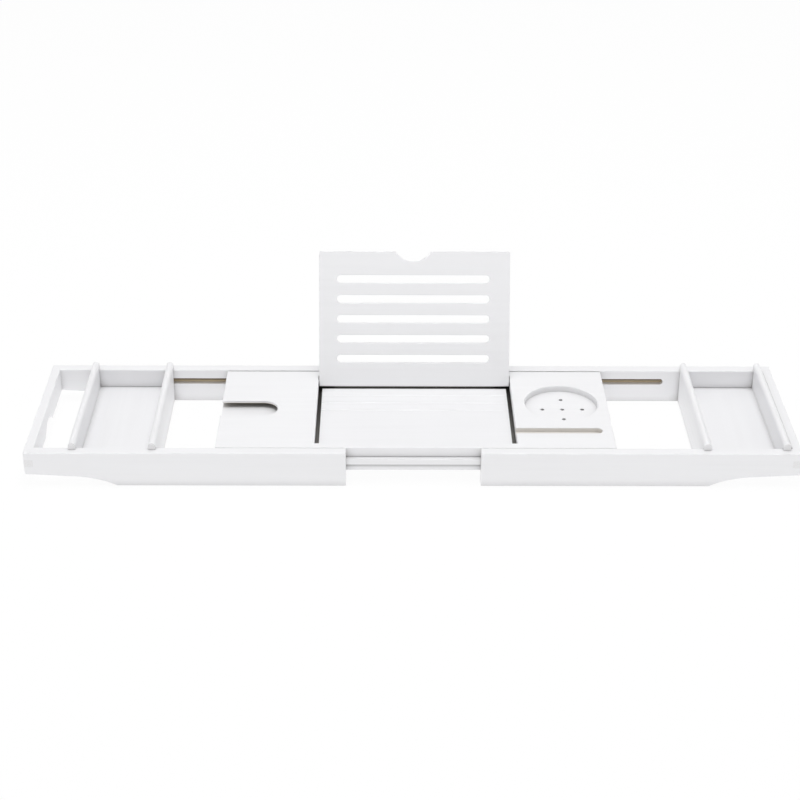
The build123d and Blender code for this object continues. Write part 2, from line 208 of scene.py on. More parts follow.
class NodeTree:
    """A material's or a world's nodes, with short ways to add and join them."""

    def __init__(self, owner: Union[bpy.types.Material, bpy.types.World]) -> None:
        """Starts with no nodes.

        Args:
            owner: The material or the world.
        """
        owner.use_nodes = True
        self.tree = owner.node_tree
        self.tree.nodes.clear()

    def add(
        self, kind: str, inputs: Optional[Dict[str, Value]] = None, **settings: object
    ) -> bpy.types.Node:
        """Adds a node.

        Args:
            kind: The node's type.
            inputs: What its inputs read, or their values.
            **settings: Properties to set on it.

        Returns:
            The new node.
        """
        node = self.tree.nodes.new(kind)
        for key, value in settings.items():
            setattr(node, key, value)
        for name, source in (inputs or {}).items():
            self.join(source, node.inputs[name])
        return node

    def join(self, source: Value, target: Socket) -> None:
        """Links an output to an input, or sets the input where the source is a value.

        Args:
            source: An output socket, a number, a vector or a colour.
            target: The input socket.
        """
        if isinstance(source, Socket):
            self.tree.links.new(source, target)
        elif target.type == "RGBA":
            target.default_value = (*source, 1.0)
        else:
            target.default_value = source

    def result(self, kind: str, operation: str, values: Sequence[Value]) -> Socket:
        """Adds a node that works something out.

        Args:
            kind: The node's type.
            operation: The node's operation.
            values: Sockets or values for its inputs.

        Returns:
            Its result.
        """
        node = self.add(kind, operation=operation)
        for value, target in zip(values, node.inputs):
            self.join(value, target)
        return node.outputs[0]

    def math(self, operation: str, *values: Value) -> Socket:
        """Works out a number from some sockets or numbers."""
        return self.result("ShaderNodeMath", operation, values)

    def vector(self, operation: str, *values: Value) -> Socket:
        """Works out a vector from some sockets or vectors."""
        return self.result("ShaderNodeVectorMath", operation, values)

    def join_shaders(
        self, first: Socket, second: Socket, share: Optional[Value] = None
    ) -> Socket:
        """Adds two shaders to each other, or mixes them.

        Args:
            first: The first shader.
            second: The second shader.
            share: How much of the second one shows, or None where they are added.

        Returns:
            The joined shader.
        """
        node = self.add("ShaderNodeAddShader" if share is None else "ShaderNodeMixShader")
        *shares, first_input, second_input = node.inputs
        self.join(first, first_input)
        self.join(second, second_input)
        for target in shares:
            self.join(share, target)
        return node.outputs[0]


class Graph(NodeTree):
    """The nodes of a piece's material, around one principled shader."""

    def __init__(self, name: str) -> None:
        """Starts a material.

        Args:
            name: The material's name.
        """
        self.material = bpy.data.materials.new(name)
        super().__init__(self.material)
        self.shader = self.add("ShaderNodeBsdfPrincipled")
        self.add("ShaderNodeOutputMaterial", {"Surface": self.shader.outputs["BSDF"]})
        self.place = self.add("ShaderNodeTexCoord").outputs["Object"]

    def blend(
        self, share: Value, first: Value, second: Value, kind: Mixed = Mixed.COLOURS
    ) -> Socket:
        """Mixes two colours or two numbers.

        Args:
            share: How much of the second one shows.
            first: A socket or a value.
            second: A socket or a value.
            kind: What is mixed.

        Returns:
            The mixture.
        """
        data_type, first_at, second_at, result_at = kind.value
        node = self.add("ShaderNodeMix", {"Factor": share}, data_type=data_type)
        self.join(first, node.inputs[first_at])
        self.join(second, node.inputs[second_at])
        return node.outputs[result_at]

    def noise(self, pattern: Noise, grain: Axis = Axis.X, seed: float = 0.0) -> Socket:
        """Adds a noise pattern.

        Args:
            pattern: The pattern.
            grain: The way that the grain runs.
            seed: The piece's seed.

        Returns:
            Its value, from 0 to 1.
        """
        mapping = {
            "Vector": self.place,
            "Location": (seed * pattern.shift,) * len(Axis),
            "Scale": [pattern.along if axis is grain else pattern.across for axis in Axis],
        }
        texture = {
            "Vector": self.add("ShaderNodeMapping", mapping).outputs[0],
            "Scale": 1.0,
            "Detail": pattern.octaves,
            "Roughness": pattern.rough,
        }
        return self.add("ShaderNodeTexNoise", texture).outputs["Fac"]

    def spread(self, value: Socket, span: Span) -> Socket:
        """Stretches a range of values to another one, and holds it there.

        Args:
            value: The socket to stretch.
            span: The two ends of its range, and what they become.

        Returns:
            The stretched value.
        """
        node = self.add("ShaderNodeMapRange")
        for number, socket in zip((value, *span), node.inputs):
            self.join(number, socket)
        return node.outputs[0]

    def inside(self, zone: Zone) -> Socket:
        """Gives 1 where a point is in a zone's box, and 0 elsewhere.

        Args:
            zone: The zone.

        Returns:
            The mask, turned round where the zone lies outside its box, and faded where it fades.
        """
        low, high = Vector(zone.low), Vector(zone.high)
        offset = self.vector("SUBTRACT", self.place, (low + high) * HALF)
        depth = self.vector("SUBTRACT", self.vector("ABSOLUTE", offset), (high - low) * HALF)
        x, y, z = self.add("ShaderNodeSeparateXYZ", {"Vector": depth}).outputs
        widest = self.math("MAXIMUM", self.math("MAXIMUM", x, y), z)
        mask = self.math("GREATER_THAN" if zone.outside else "LESS_THAN", widest, 0.0)
        if zone.fade_axis is None:
            return mask
        axes = self.add("ShaderNodeSeparateXYZ", {"Vector": self.place})
        faded = self.spread(axes.outputs[zone.fade_axis.value], (*zone.fade, 0.0, 1.0))
        return self.math("MULTIPLY", mask, faded)

    def finish(
        self, inputs: Dict[str, Value], height: Socket, relief: Relief
    ) -> bpy.types.Material:
        """Gives the shader its inputs and a bump.

        Args:
            inputs: What the shader's inputs read, or their values.
            height: The height of the bumps.
            relief: How the bumps show.

        Returns:
            The finished material.
        """
        bumps = {"Strength": relief.strength, "Distance": relief.height, "Height": height}
        normal = self.add("ShaderNodeBump", bumps).outputs["Normal"]
        for name, source in {**inputs, "Normal": normal}.items():
            self.join(source, self.shader.inputs[name])
        return self.material


@dataclass(frozen=True)
class BoardParts:
    """The values that a board's pattern gives to its zones.

    Attributes:
        colour: The painted board's colour.
        wood: The bare wood's colour.
        peel: The orange peel's value.
        corner: How much of the corner shade shows.
    """

    colour: Socket
    wood: Socket
    peel: Socket
    corner: Socket


@dataclass(frozen=True)
class PaintedBamboo:
    """Satin white paint on bamboo boards, with the places that the paint misses and painted shade
    in corners, joints and slits.

    Attributes:
        paint: The paint's colour.
        paint_shade: The paint where it lies thinner over the grain.
        bamboo: Bare bamboo between its fibres.
        fibre: Bare bamboo's darker fibres.
        dull: Bare bamboo darkened as painted shade under the upper wall of a groove.
        deep_shade: The near-black painted shade in joints and slits where shade falls.
        dust_and_shade: The grey painted shade in the slits beside the recess's floor.
        end_grain: Paint that has sunk into end grain.
        corner: The painted shade in tight corners, towards which the paint darkens.
        satin: The paint's roughness, from the low streaks to the high ones.
        matt: The roughness of bare wood.
        streaks: The pattern of the paint's streaks.
        streak_span: Which of the streaks show as shade.
        fibres: The pattern of the bare wood's fibres.
        fibre_span: Which of the fibres show as the darker ones.
        clouds: The pattern of the patches where the streaks show more or less.
        cloud_span: How much of the streaks shows from the faintest patch to the strongest.
        peel: The pattern of the spray's fine orange peel.
        sunk_span: How much of the paint has sunk into end grain, by the peel's value.
        relief_shares: How much of the relief is streaks, and how much is orange peel.
        relief: How that relief shows.
        corner_reach: How far from a corner its shade reaches.
        corner_open: How open a place is where the corner shade is full, and where it ends.
        corner_power: How fast the shade fades on the way.
        thin_share: How much of the wood shows through thin paint.
    """

    paint: Colour = (0.862, 0.862, 0.876)
    paint_shade: Colour = (0.842, 0.841, 0.854)
    bamboo: Colour = (0.70, 0.60, 0.43)
    fibre: Colour = (0.50, 0.40, 0.26)
    # Painted shade under a groove's upper wall.
    dull: Colour = (0.19, 0.15, 0.1)
    # Painted shade in joints and slits; painted corner shade also darkens bare wood towards it.
    deep_shade: Colour = (0.035, 0.031, 0.027)
    # Painted shade in the slits.
    dust_and_shade: Colour = (0.17, 0.165, 0.155)
    end_grain: Colour = (0.79, 0.785, 0.79)
    # Painted shade that the paint darkens towards in corners and gaps.
    corner: Colour = (0.36, 0.35, 0.345)
    satin: Span = (0.3, 0.75, 0.39, 0.51)
    matt: float = 0.72
    streaks: Noise = Noise(5.0, 150.0, octaves=5.0, rough=0.62, shift=1.0)
    streak_span: Span = (0.42, 0.72, 0.0, 1.0)
    fibres: Noise = Noise(14.0, 900.0, octaves=4.0, rough=0.7, shift=1.0)
    fibre_span: Span = (0.38, 0.66, 0.0, 1.0)
    clouds: Noise = Noise(9.0, 9.0, octaves=2.0, rough=0.5, shift=3.0)
    cloud_span: Span = (0.3, 0.7, 0.35, 1.0)
    peel: Noise = Noise(620.0, 620.0, octaves=2.0, rough=0.5)
    sunk_span: Span = (0.35, 0.6, 0.3, 1.0)
    relief_shares: Pair = (0.75, 0.25)
    relief: Relief = Relief(strength=0.35, height=0.12 * MM)
    corner_reach: float = 13.0 * MM
    corner_open: Pair = (0.05, 0.92)
    corner_power: float = 1.7
    thin_share: float = 0.25

    def zone_colour(self, graph: Graph, surface: Surface, parts: BoardParts) -> Value:
        """Gives the colour that a surface has.

        Args:
            graph: The board's material.
            surface: The surface.
            parts: The values that the board's pattern gives.

        Returns:
            A socket or a colour.
        """
        # Thin paint over the colour that already holds the painted corner shade.
        if surface is Surface.THIN_PAINT:
            return graph.blend(self.thin_share, parts.colour, parts.wood)
        # Thin paint without the painted corner shade.
        if surface is Surface.WORN_PAINT:
            return graph.blend(self.thin_share, self.paint_shade, parts.wood)
        # Bare wood darkened by painted shade in tight corners.
        if surface is Surface.WOOD_WITH_PAINTED_SHADE:
            return graph.blend(parts.corner, parts.wood, self.deep_shade)
        if surface is Surface.END_GRAIN:
            sunk = graph.spread(parts.peel, self.sunk_span)
            return graph.blend(sunk, parts.colour, self.end_grain)
        # Bare wood, and flat colours of painted shade.
        plain = {
            Surface.BARE: parts.wood,
            Surface.PAINTED_SHADE_UNDER_LIP: self.dull,
            Surface.PAINTED_DARK_SHADE: self.deep_shade,
            Surface.DUSTY: self.dust_and_shade,
        }
        return plain[surface]

    def corner_shade(self, graph: Graph) -> Socket:
        """Gives how much of the painted corner shade shows, from ambient occlusion.

        Args:
            graph: The board's material.

        Returns:
            The share, from 0 on an open face to 1 in a tight corner.
        """
        reach = {"Distance": self.corner_reach}
        rays = graph.add("ShaderNodeAmbientOcclusion", reach, samples=OPEN_RAYS)
        closed = graph.spread(rays.outputs["AO"], (*self.corner_open, 1.0, 0.0))
        return graph.math("POWER", closed, self.corner_power)

    def make(self, name: str, grain: Axis, zones: Sequence[Zone]) -> bpy.types.Material:
        """Makes one board's material.

        Args:
            name: The board's name.
            grain: The way that its grain runs.
            zones: The places where the board isn't plainly painted.

        Returns:
            The material.
        """
        graph = Graph("painted_" + name)
        seed = GRAIN_SEEDS[name]
        streaks, fibres, clouds, peel = (
            graph.noise(pattern, grain, seed)
            for pattern in (self.streaks, self.fibres, self.clouds, self.peel)
        )
        shown = graph.spread(clouds, self.cloud_span)
        thin = graph.math("MULTIPLY", graph.spread(streaks, self.streak_span), shown)
        corner = self.corner_shade(graph)
        colour = graph.blend(thin, self.paint, self.paint_shade)
        # Painted shade: the paint darkens towards the corner colour where ambient occlusion finds
        # the surroundings closed.
        colour = graph.blend(corner, colour, self.corner)
        wood = graph.blend(graph.spread(fibres, self.fibre_span), self.bamboo, self.fibre)
        rough = graph.spread(streaks, self.satin)
        parts = BoardParts(colour, wood, peel, corner)
        for zone in zones:
            mask = graph.inside(zone)
            colour = graph.blend(mask, colour, self.zone_colour(graph, zone.surface, parts))
            if zone.surface not in (Surface.THIN_PAINT, Surface.WORN_PAINT):
                rough = graph.blend(mask, rough, self.matt, Mixed.NUMBERS)
        heights = (
            graph.math("MULTIPLY", value, share)
            for value, share in zip((streaks, peel), self.relief_shares)
        )
        inputs = {"Base Color": colour, "Roughness": rough}
        return graph.finish(inputs, graph.math("ADD", *heights), self.relief)


@dataclass(frozen=True)
class Zinc:
    """Bright zinc plating on small steel parts.

    Attributes:
        bright: The plating where it is polished.
        dull: The plating in its dull patches.
        patches: The pattern of the patches.
        rough: Its roughness, from the polished patches to the dull ones.
        lines: The pattern of the drawing lines.
        relief: How the lines show as relief.
    """

    bright: Colour = (0.70, 0.70, 0.71)
    dull: Colour = (0.50, 0.50, 0.51)
    patches: Noise = Noise(420.0, 420.0, octaves=3.0, rough=0.6)
    rough: Span = (0.3, 0.7, 0.24, 0.42)
    lines: Noise = Noise(300.0, 2400.0, octaves=2.0, rough=0.5)
    relief: Relief = Relief(strength=0.2, height=0.02 * MM)

    def make(self, name: str) -> bpy.types.Material:
        """Makes the material.

        Args:
            name: The material's name.

        Returns:
            The material.
        """
        graph = Graph(name)
        patches = graph.noise(self.patches)
        inputs = {
            "Base Color": graph.blend(patches, self.bright, self.dull),
            "Roughness": graph.spread(patches, self.rough),
            "Metallic": 1.0,
        }
        return graph.finish(inputs, graph.noise(self.lines), self.relief)


@dataclass(frozen=True)
class Silicone:
    """Matt, slightly clear silicone with the fine texture of its mould.

    Attributes:
        pale: Its colour where it is clean.
        dusty: Its colour where it has picked up dust.
        dust_and_shade: The pattern of the dust.
        rough: Its roughness, from the clean places to the dusty ones.
        clear: How much light it lets through.
        texture: The mould's texture.
        relief: How that texture shows.
    """

    pale: Colour = (0.74, 0.74, 0.73)
    dusty: Colour = (0.62, 0.61, 0.59)
    dust_and_shade: Noise = Noise(160.0, 160.0, octaves=4.0, rough=0.6)
    rough: Span = (0.3, 0.7, 0.5, 0.68)
    clear: float = 0.12
    texture: Noise = Noise(2600.0, 2600.0, octaves=2.0, rough=0.5)
    relief: Relief = Relief(strength=0.3, height=0.04 * MM)

    def make(self, name: str) -> bpy.types.Material:
        """Makes the material.

        Args:
            name: The material's name.

        Returns:
            The material.
        """
        graph = Graph(name)
        dust_and_shade = graph.noise(self.dust_and_shade)
        inputs = {
            "Base Color": graph.blend(dust_and_shade, self.pale, self.dusty),
            "Roughness": graph.spread(dust_and_shade, self.rough),
            "Transmission Weight": self.clear,
        }
        return graph.finish(inputs, graph.noise(self.texture), self.relief)


PAINT = PaintedBamboo()


def paint_board(
    node: str, grain: Axis, zones: Sequence[Zone] = (), paint: PaintedBamboo = PAINT
) -> None:
    """Paints a board of the frame.

    Args:
        node: The board's node name.
        grain: The way that its grain runs.
        zones: The places where it isn't plainly painted.
        paint: The board's finish.
    """
    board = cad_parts[node]
    board.data.materials.clear()
    board.data.materials.append(paint.make(node, grain, zones))
    log.info("painted %s with %d zones", node, len(zones))


def end_grain(node: str) -> Zone:
    """Gives the zone of end grain at both ends of a board that runs along Y."""
    low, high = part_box(node)
    inside = (-FAR, low.y + SKIN, -FAR), (FAR, high.y - SKIN, FAR)
    return Zone(*inside, Surface.END_GRAIN, outside=True)


def finish_piece(mesh: BMesh, name: str, material: bpy.types.Material) -> bpy.types.Object:
    """Turns a finished bmesh into a piece with its object at the origin.

    Args:
        mesh: The shape, already in its place. It is freed here.
        name: The piece's name.
        material: Its material.

    Returns:
        The new object.
    """
    bmesh.ops.recalc_face_normals(mesh, faces=mesh.faces[:])
    data = bpy.data.meshes.new(name)
    mesh.to_mesh(data)
    mesh.free()
    data.materials.append(material)
    piece = bpy.data.objects.new(name, data)
    bpy.context.scene.collection.objects.link(piece)
    log.info("built %s with %d faces", name, len(data.polygons))
    return piece


def smooth_round_faces(mesh: BMesh, limit: float) -> None:
    """Shades a shape smooth, but for its sharp edges.

    Args:
        mesh: The shape.
        limit: The angle, in radians, from which an edge stays sharp.
    """
    mesh.normal_update()
    for edge in mesh.edges:
        edge.smooth = len(edge.link_faces) == 2 and edge.calc_face_angle() < limit
    for face in mesh.faces:
        face.smooth = True


def edge_rise(edge: bmesh.types.BMEdge) -> float:
    """Gives how far one end of an edge lies above the other."""
    return abs(edge.verts[0].co.z - edge.verts[1].co.z)


def bevel_edges(
    mesh: BMesh, edges: Sequence[bmesh.types.BMEdge], width: float, steps: int
) -> None:
    """Rounds some edges.

    Args:
        mesh: The shape.
        edges: The edges to round.
        width: The width of the rounding.
        steps: Its number of segments.
    """
    bmesh.ops.bevel(
        mesh,
        geom=list(edges),
        offset=width,
        offset_type="OFFSET",
        affect="EDGES",
        segments=steps,
        profile=0.5,
        material=-1,
        clamp_overlap=True,
    )


def copies_of(one: BMesh, places: Sequence[Matrix]) -> BMesh:
    """Puts copies of a shape in several places.

    Args:
        one: The shape to copy. It is freed here.
        places: Where the copies go.

    Returns:
        All the copies as one shape.
    """
    every = bmesh.new()
    for place in places:
        data = bpy.data.meshes.new("copy")
        one.to_mesh(data)
        data.transform(place)
        every.from_mesh(data)
        bpy.data.meshes.remove(data)
    one.free()
    return every


@dataclass
class CountersunkScrew:
    """A countersunk wood screw with a cross recess, pointing up from its head.

    Attributes:
        length: Its whole length.
        shank: The shank's diameter.
        point: The length of the point.
        head: The head's diameter.
        head_height: The height of the head's cone.
        rim: The width of the head's rounded rim.
        recess_reach: How far each arm of the cross reaches from the middle.
        recess_width: The width of an arm.
        recess_depth: The depth of the cross.
        recess_taper: The size of the cross at its bottom, as a share of its size at the top.
        round_steps: The number of faces around it.
        sharp: The angle from which an edge stays sharp.
    """

    length: float = 13.0 * MM
    shank: float = 3.0 * MM
    point: float = 2.6 * MM
    head: float = 6.5 * MM
    head_height: float = 2.0 * MM
    rim: float = 0.25 * MM
    recess_reach: float = 1.75 * MM
    recess_width: float = 0.75 * MM
    recess_depth: float = 1.1 * MM
    recess_taper: float = 0.62
    round_steps: int = 32
    sharp: float = math.radians(28.0)

    def build(self) -> BMesh:
        """Models the screw with the middle of its head's face at the origin.

        Returns:
            The shape.
        """
        mesh = bmesh.new()
        outline = [
            (self.recess_reach + self.rim, 0.0),
            (self.head * HALF - self.rim, 0.0),
            (self.head * HALF, self.rim),
            (self.shank * HALF, self.head_height),
            (self.shank * HALF, self.length - self.point),
            (self.rim * HALF, self.length),
        ]
        points = [mesh.verts.new((x, 0.0, z)) for x, z in outline]
        edges = [mesh.edges.new(pair) for pair in zip(points, points[1:])]
        bmesh.ops.spin(
            mesh,
            geom=points + edges,
            cent=(0.0, 0.0, 0.0),
            axis=(0.0, 0.0, 1.0),
            angle=math.tau,
            steps=self.round_steps,
            use_merge=True,
            use_duplicate=False,
        )
        bmesh.ops.remove_doubles(mesh, verts=mesh.verts[:], dist=WELD)
        rims = [edge for edge in mesh.edges if edge.is_boundary]
        tip = [edge for edge in rims if edge.verts[0].co.z > self.head_height]
        bmesh.ops.holes_fill(mesh, edges=tip, sides=0)
        self.cut_recess(mesh)
        bmesh.ops.recalc_face_normals(mesh, faces=mesh.faces[:])
        smooth_round_faces(mesh, self.sharp)
        return mesh

    def cut_recess(self, mesh: BMesh) -> None:
        """Closes the head's face around a cross-shaped recess.

        Args:
            mesh: The spun screw, open in the middle of its head's face.
        """
        ring = [edge for edge in mesh.edges if edge.is_boundary]
        reach, half = self.recess_reach, self.recess_width * HALF
        arm = [(reach, -half), (reach, half), (half, half)]
        corners = list(arm)
        for _ in range(3):
            arm = [(-y, x) for x, y in arm]
            corners += arm
        points = [mesh.verts.new((x, y, 0.0)) for x, y in corners]
        cross = [mesh.edges.new(pair) for pair in zip(points, points[1:] + points[:1])]
        bmesh.ops.triangle_fill(mesh, edges=ring + cross, use_beauty=True, use_dissolve=False)
        middle = [face for face in mesh.faces if self.lies_in_cross(face)]
        bmesh.ops.delete(mesh, geom=middle, context="FACES_ONLY")
        walls = bmesh.ops.extrude_edge_only(mesh, edges=cross)["geom"]
        floor = [item for item in walls if isinstance(item, bmesh.types.BMVert)]
        taper = self.recess_taper
        for vert in floor:
            vert.co = Vector((vert.co.x * taper, vert.co.y * taper, self.recess_depth))
        bottom = [
            item
            for item in walls
            if isinstance(item, bmesh.types.BMEdge) and all(end in floor for end in item.verts)
        ]
        bmesh.ops.triangle_fill(mesh, edges=bottom, use_beauty=True, use_dissolve=False)

    def lies_in_cross(self, face: bmesh.types.BMFace) -> bool:
        """Says whether a face of the screw lies in the cross.

        Args:
            face: A face of the screw.

        Returns:
            True where it is flat in the head's face, with its middle in one of the cross's arms.
        """
        middle = face.calc_center_median()
        across, along = sorted((abs(middle.x), abs(middle.y)))
        in_arm = across < self.recess_width * HALF and along < self.recess_reach
        return in_arm and abs(middle.z) < SKIN * HALF


@dataclass
class RimPad:
    """A ribbed silicone pad under a wing's tip.

    Attributes:
        length: Its length along the rail.
        width: Its width.
        thick: Its thickness with the ribs.
        rib_count: The number of ribs.
        rib_height: How far the ribs stand out.
        rib_crest: The length and width of a rib's crest, as shares of those of its foot.
        corner: The radius of its corners.
        corner_steps: The number of segments of a corner.
        tilt: The slope of the tip, in radians.
        sharp: The angle from which an edge stays sharp.
    """

    length: float = 38.0 * MM
    width: float = 8.0 * MM
    thick: float = 2.5 * MM
    rib_count: int = 9
    rib_height: float = 0.4 * MM
    rib_crest: Pair = (0.6, 0.86)
    corner: float = 0.9 * MM
    corner_steps: int = 5
    tilt: float = math.atan2(3.2, 60.0)
    sharp: float = math.radians(35.0)

    def build(self) -> BMesh:
        """Models the pad about its middle, with its ribs facing down.

        Returns:
            The shape.
        """
        mesh = bmesh.new()
        body = self.thick - self.rib_height
        bmesh.ops.create_cube(mesh, size=1.0)
        bmesh.ops.scale(mesh, vec=(self.length, self.width, body), verts=mesh.verts[:])
        bmesh.ops.translate(mesh, vec=(0.0, 0.0, self.rib_height * HALF), verts=mesh.verts[:])
        upright = [edge for edge in mesh.edges if edge_rise(edge) > body * HALF]
        bevel_edges(mesh, upright, self.corner, self.corner_steps)
        self.raise_ribs(mesh)
        smooth_round_faces(mesh, self.sharp)
        return mesh

    def raise_ribs(self, mesh: BMesh) -> None:
        """Cuts the pad across into equal bands, and raises every other one on its underside.

        Args:
            mesh: The plain pad.
        """
        bands = self.rib_count * 2 - 1
        pitch = (self.length - self.corner * 2) / bands
        cuts = [step * pitch - self.length * HALF + self.corner for step in range(bands + 1)]
        for x in cuts:
            bmesh.ops.bisect_plane(
                mesh,
                geom=mesh.verts[:] + mesh.edges[:] + mesh.faces[:],
                plane_co=(x, 0.0, 0.0),
                plane_no=(1.0, 0.0, 0.0),
            )
        low = min(vert.co.z for vert in mesh.verts)
        feet = []
        for face in mesh.faces:
            middle = face.calc_center_median()
            band = math.floor((middle.x - cuts[0]) / pitch)
            if abs(middle.z - low) < SKIN * HALF and band in range(0, bands, 2):
                feet.append(face)
        along, across = self.rib_crest
        for crest in bmesh.ops.extrude_discrete_faces(mesh, faces=feet)["faces"]:
            centre = crest.calc_center_median()
            for vert in crest.verts:
                vert.co = Vector((
                    centre.x + (vert.co.x - centre.x) * along,
                    centre.y + (vert.co.y - centre.y) * across,
                    vert.co.z - self.rib_height,
                ))


@dataclass
class HingePin:
    """A steel pin on which the book rest turns.

    Attributes:
        diameter: The pin's diameter.
        length: The pin's length.
        chamfer: The width of the chamfer at each end.
        chamfer_steps: The number of segments of a chamfer.
        round_steps: The number of faces around it.
        sharp: The angle from which an edge stays sharp.
    """

    diameter: float = 4.0 * MM
    length: float = 29.2 * MM
    chamfer: float = 0.4 * MM
    chamfer_steps: int = 2
    round_steps: int = 40
    sharp: float = math.radians(30.0)

    def build(self) -> BMesh:
        """Models the pin about its middle, along X.

        Returns:
            The shape.
        """
        mesh = bmesh.new()
        radius = self.diameter * HALF
        bmesh.ops.create_cone(
            mesh,
            cap_ends=True,
            segments=self.round_steps,
            radius1=radius,
            radius2=radius,
            depth=self.length,
        )
        caps = [edge for edge in mesh.edges if edge_rise(edge) < SKIN]
        bevel_edges(mesh, caps, self.chamfer, self.chamfer_steps)
        lie_down = Matrix.Rotation(math.pi * HALF, 3, "Y")
        bmesh.ops.rotate(mesh, cent=(0.0, 0.0, 0.0), matrix=lie_down, verts=mesh.verts[:])
        smooth_round_faces(mesh, self.sharp)
        return mesh


@dataclass
class Deck:
    """The middle of the caddy: strips, tongues, panels, recess floor, battens and screws.

    Attributes:
        lip: The thickness of the lip over the glass's foot slot.
        foot_slot: The height of the foot slot.
        groove_drop: How deep the phone groove is.
        groove_reach: Where the phone groove starts and ends, from the panel's front.
        paint_edge: How far down the full paint reaches into the phone groove.
        tongue_shade: How far below the front tongue its shade starts, and how far above the
            tongue's underside the shade would be full.
        floor_thick: The thickness of the recess's floor without its ridges.
        deep_shade_reach: How far below the recess's floor the painted shade on the strips' inner
            faces reaches.
        zone_clear: How far a hidden zone stays from the sides of its board.
        screw: The screws' shape.
        screw_pair: The distance between the two screws of a pair, along X.
        screw_turn: How much further each screw is turned than the last one, in radians.
    """

    lip: float = 3.0 * MM
    foot_slot: float = 6.0 * MM
    groove_drop: float = 5.7 * MM
    groove_reach: Pair = (20.0 * MM, 42.0 * MM)
    paint_edge: float = 0.9 * MM
    tongue_shade: Pair = (8.0 * MM, 0.5 * MM)
    floor_thick: float = 6.0 * MM
    deep_shade_reach: float = 4.0 * MM
    zone_clear: float = 2.0 * MM
    screw: CountersunkScrew = field(default_factory=CountersunkScrew)
    screw_pair: float = 17.0 * MM
    screw_turn: float = 0.7

    @property
    def dark_top(self) -> float:
        """The height up to which shade is painted in the gaps around the recess's floor."""
        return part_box("recess_floor")[0].z + self.floor_thick - SKIN

    def dress(self) -> None:
        """Paints the deck's boards."""
        for node in ("front_strip", "rear_strip"):
            paint_board(node, Axis.X, self.strip_zones(node))
        for node in ("front_tongue", "rear_tongue"):
            paint_board(node, Axis.X)
        self.dress_left_panel()
        self.dress_right_panel()
        low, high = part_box("recess_floor")
        # Painted shade on the recess floor's sides and back, in the slits.
        sides = (low.x + SKIN, -FAR, -FAR), (high.x - SKIN, high.y - SKIN, FAR)
        paint_board("recess_floor", Axis.X, self.slit_zones(*sides, outside=True))
        for side in Side:
            node = side.word + "_batten"
            # Painted shade on the batten's top, under the slits.
            top = (-FAR, -FAR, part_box(node)[1].z - SKIN), (FAR, FAR, FAR)
            paint_board(node, Axis.Y, self.slit_zones(*top))

    def strip_zones(self, node: str) -> List[Zone]:
        """Finds where shade is painted on a long strip.

        Args:
            node: The strip's node name.

        Returns:
            The inner face beside the recess's floor, and on the front strip the outer face
            below the tongue, too.
        """
        low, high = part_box(node)
        front = node == "front_strip"
        face = high.y if front else low.y
        left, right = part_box("left_panel")[1].x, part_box("right_panel")[0].x
        # Painted shade on the strip's inner face beside the recess's floor.
        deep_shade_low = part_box("recess_floor")[0].z - self.deep_shade_reach
        inner = (left, face - SKIN, deep_shade_low), (right, face + SKIN, self.dark_top)
        zones = [Zone(*inner, Surface.PAINTED_DARK_SHADE)]
        if front:
            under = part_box("front_tongue")[0].z
            below, above = self.tongue_shade
            # Painted shadow below the front tongue, fading out downwards.
            zones.append(Zone(
                (-FAR, -FAR, -FAR),
                (FAR, low.y + SKIN, under),
                Surface.PAINTED_DARK_SHADE,
                fade_axis=Axis.Z,
                fade=(under - below, under + above),
            ))
        return zones

    def slit_zones(self, low: Point, high: Point, outside: bool = False) -> List[Zone]:
        """Finds the painted shade on a face in a slit beside the recess's floor, grey in front
        and darker behind.

        Args:
            low: The lowest corner of the face's box.
            high: The highest corner of it.
            outside: True where the face is what lies outside the box.

        Returns:
            The grey painted shade, and the darker painted shade that fades in over it towards the
            back.
        """
        floor_low, floor_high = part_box("recess_floor")
        fade = (floor_low.y * HALF, floor_high.y * HALF)
        # Painted shade: grey over the face, with near-black fading in towards the back.
        return [
            Zone(low, high, Surface.DUSTY, outside),
            Zone(low, high, Surface.PAINTED_DARK_SHADE, outside, Axis.Y, fade),
        ]

    def dress_left_panel(self) -> None:
        """Paints the panel with the glass slot."""
        low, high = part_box("left_panel")
        top = high.z - self.lip + SKIN
        # Painted shade in the slit beside the recess's floor.
        slit = self.slit_zones((high.x - SKIN, -FAR, -FAR), (high.x + SKIN, FAR, self.dark_top))
        # Painted shade deep in the glass's foot slot, on its bare wood.
        foot = Zone(
            (low.x + SKIN, low.y + self.zone_clear, top - self.foot_slot),
            (high.x - self.zone_clear, high.y - self.zone_clear, top),
            Surface.WOOD_WITH_PAINTED_SHADE,
        )
        paint_board("left_panel", Axis.X, [*slit, foot])

    def dress_right_panel(self) -> None:
        """Paints the panel with the cup recess and the phone groove."""
        low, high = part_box("right_panel")
        front, rear = (low.y + reach for reach in self.groove_reach)
        # Painted shade in the slit beside the recess's floor.
        slit = self.slit_zones((low.x - SKIN, -FAR, -FAR), (low.x + SKIN, FAR, self.dark_top))
        groove = Zone(
            (low.x - SKIN, front, high.z - self.groove_drop - SKIN),
            (high.x - self.zone_clear, rear, high.z - self.paint_edge),
            Surface.THIN_PAINT,
        )
        paint_board("right_panel", Axis.X, [*slit, groove])

    def screw_places(self) -> List[Matrix]:
        """Finds where the eight screws go, each turned further than the last one.

        Returns:
            Their places, with the heads' faces at the bottom.
        """
        low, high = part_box("batten_screws")
        radius = self.screw.head * HALF
        right, left = high.x - radius, low.x + radius
        places = []
        turn = 0.0
        for x in (right, right - self.screw_pair, left, left + self.screw_pair):
            for y in (low.y + radius, high.y - radius):
                turn += self.screw_turn
                turned = Matrix.Rotation(turn, 4, "Z")
                places.append(Matrix.Translation((x, y, low.z)) @ turned)
        return places

